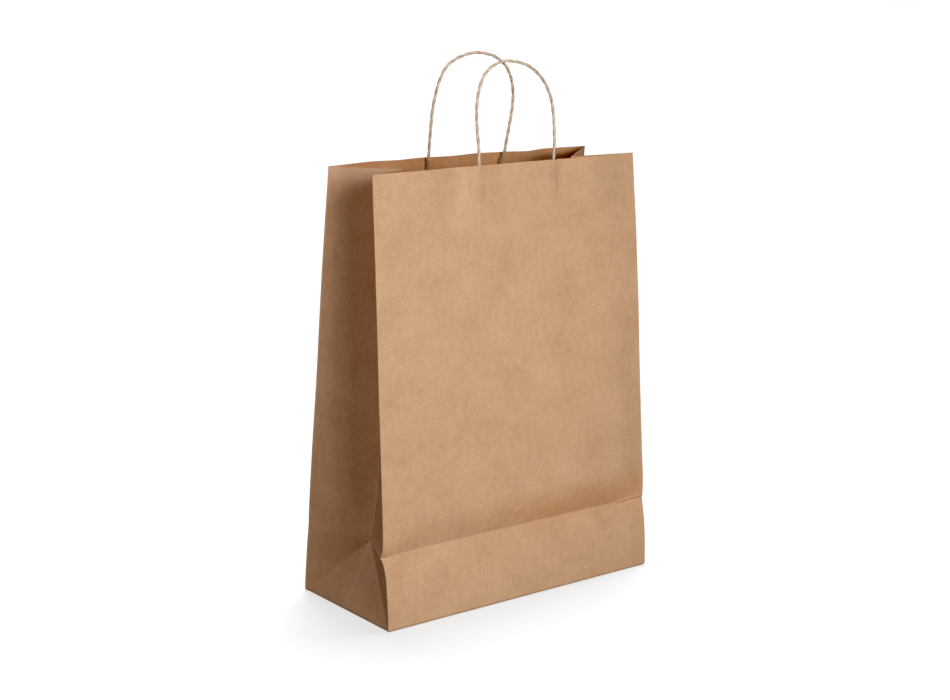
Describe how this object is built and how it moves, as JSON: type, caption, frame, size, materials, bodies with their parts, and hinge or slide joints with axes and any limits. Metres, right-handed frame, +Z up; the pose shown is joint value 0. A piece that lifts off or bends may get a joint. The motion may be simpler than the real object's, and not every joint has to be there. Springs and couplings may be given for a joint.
{
  "type": "kraft paper gift bag",
  "caption": "Upright kraft paper gift bag with block bottom, side gussets that fold inward, a mouth that opens and closes, and twisted cord loop handles.",
  "frame": {"origin": "middle of the footprint, on the surface that the bag stands on", "axes": "+X to the right along the front face, +Y to the back, +Z up"},
  "size_m": [0.32, 0.14, 0.5174],
  "materials": {
    "kraft_paper": "uncoated brown kraft paper, matt with fine fibres",
    "patch_paper": "uncoated brown kraft paper strip, matt",
    "twisted_cord": "twisted paper cord, matt"
  },
  "bodies": {
    "bottom": {"bottom_front_flap": "kraft_paper", "bottom_back_flap": "kraft_paper", "bottom_left_tuck": "kraft_paper", "bottom_right_tuck": "kraft_paper"},
    "back": {"back_panel": "kraft_paper", "back_base_strip": "kraft_paper", "seam_tab": "kraft_paper", "back_patch_backing": "patch_paper", "back_patch_cover": "patch_paper", "back_cord_ends": "twisted_cord"},
    "front": {"front_panel": "kraft_paper", "front_base_strip": "kraft_paper", "front_patch_backing": "patch_paper", "front_patch_cover": "patch_paper", "front_cord_ends": "twisted_cord"},
    "back_loop": {"back_handle": "twisted_cord"},
    "front_loop": {"front_handle": "twisted_cord"},
    "left_gusset": {"left_gusset_base": "kraft_paper", "left_gusset_front_inner": "kraft_paper", "left_gusset_rear_inner": "kraft_paper"},
    "left_rear_wing": {"left_gusset_rear_outer": "kraft_paper"},
    "left_front_wing": {"left_gusset_front_outer": "kraft_paper"},
    "right_gusset": {"right_gusset_base": "kraft_paper", "right_gusset_front_inner": "kraft_paper", "right_gusset_rear_inner": "kraft_paper"},
    "right_rear_wing": {"right_gusset_rear_outer": "kraft_paper"},
    "right_front_wing": {"right_gusset_front_outer": "kraft_paper"}
  },
  "joints": [
    {"name": "mouth", "type": "hinge", "parent": "bottom", "child": "back", "pos_m": [0, 0.0697, 0], "axis": [1, 0, 0], "range_deg": [-2, 1.6]},
    {"name": "mouth_front", "type": "hinge", "parent": "bottom", "child": "front", "pos_m": [0, -0.0697, 0], "axis": [-1, 0, 0], "range_deg": [-2.01, 1.61]},
    {"name": "left_gusset_lean", "type": "hinge", "parent": "bottom", "child": "left_gusset", "pos_m": [-0.1597, 0, 0], "axis": [0, 1, 0], "range_deg": [-1.31, 1.05]},
    {"name": "left_rear_wing_fold", "type": "hinge", "parent": "left_gusset", "child": "left_rear_wing", "pos_m": [-0.1597, 0.0697, 0], "axis": [-0.14, 0.1637, -0.9765], "range_deg": [-11.52, 14.38]},
    {"name": "left_front_wing_fold", "type": "hinge", "parent": "left_gusset", "child": "left_front_wing", "pos_m": [-0.1597, -0.0697, 0], "axis": [0.14, 0.1637, 0.9765], "range_deg": [-11.52, 14.38]},
    {"name": "right_gusset_lean", "type": "hinge", "parent": "bottom", "child": "right_gusset", "pos_m": [0.1597, 0, 0], "axis": [0, -1, 0], "range_deg": [-1.31, 1.05]},
    {"name": "right_rear_wing_fold", "type": "hinge", "parent": "right_gusset", "child": "right_rear_wing", "pos_m": [0.1597, 0.0697, 0], "axis": [-0.14, -0.1637, 0.9765], "range_deg": [-11.52, 14.38]},
    {"name": "right_front_wing_fold", "type": "hinge", "parent": "right_gusset", "child": "right_front_wing", "pos_m": [0.1597, -0.0697, 0], "axis": [0.14, -0.1637, -0.9765], "range_deg": [-11.52, 14.38]},
    {"name": "back_handle_swing", "type": "hinge", "parent": "back", "child": "back_loop", "pos_m": [0.0065, 0.03391, 0.42089], "axis": [-1, 0, 0], "range_deg": [-3, 90]},
    {"name": "front_handle_swing", "type": "hinge", "parent": "front", "child": "front_loop", "pos_m": [0.0065, -0.03391, 0.42089], "axis": [1, 0, 0], "range_deg": [-3, 90]}
  ],
  "couplings": [
    {"joint": "mouth_front", "follows": "mouth", "ratio": 1},
    {"joint": "left_gusset_lean", "follows": "mouth", "ratio": 0.643},
    {"joint": "left_rear_wing_fold", "follows": "mouth", "ratio": -7.14},
    {"joint": "left_front_wing_fold", "follows": "mouth", "ratio": -7.14},
    {"joint": "right_gusset_lean", "follows": "mouth", "ratio": 0.643},
    {"joint": "right_rear_wing_fold", "follows": "mouth", "ratio": -7.14},
    {"joint": "right_front_wing_fold", "follows": "mouth", "ratio": -7.14}
  ]
}
